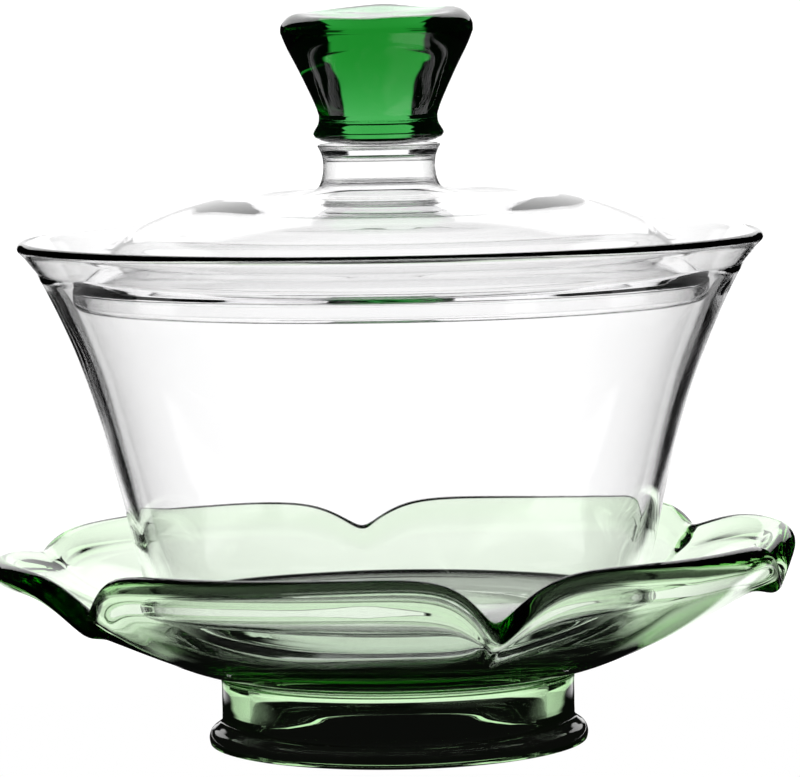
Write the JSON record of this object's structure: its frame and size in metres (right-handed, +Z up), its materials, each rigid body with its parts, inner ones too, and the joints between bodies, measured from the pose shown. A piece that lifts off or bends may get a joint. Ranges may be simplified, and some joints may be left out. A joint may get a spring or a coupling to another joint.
{
  "type": "gaiwan",
  "caption": "Covered glass tea bowl: clear flared bowl and domed lid with a deep green knob, on a pale green saucer with petal edges and a hollow foot.",
  "frame": {"origin": "centre of the saucer's foot, on the surface it stands on", "axes": "+Z up through the bowl and the lid's knob; +X towards the saucer's curled petal, -Y towards the front"},
  "size_m": [0.1071, 0.1009, 0.1],
  "materials": {
    "clear_glass": "polished clear borosilicate glass",
    "green_glass": "polished pale green glass",
    "deep_green_glass": "polished deep green solid glass"
  },
  "bodies": {
    "saucer": {"saucer_dish": "green_glass", "saucer_foot_ring": "green_glass"},
    "bowl": {"bowl": "clear_glass"},
    "lid": {"lid_dome": "clear_glass", "lid_neck": "clear_glass", "lid_knob": "deep_green_glass"}
  },
  "joints": [
    {"name": "bowl_lift", "type": "slide", "parent": "saucer", "child": "bowl", "axis": [0, 0, 1], "range_m": [0, 0.06]},
    {"name": "lid_lift", "type": "slide", "parent": "bowl", "child": "lid", "axis": [0, 0, 1], "range_m": [0, 0.05]}
  ]
}
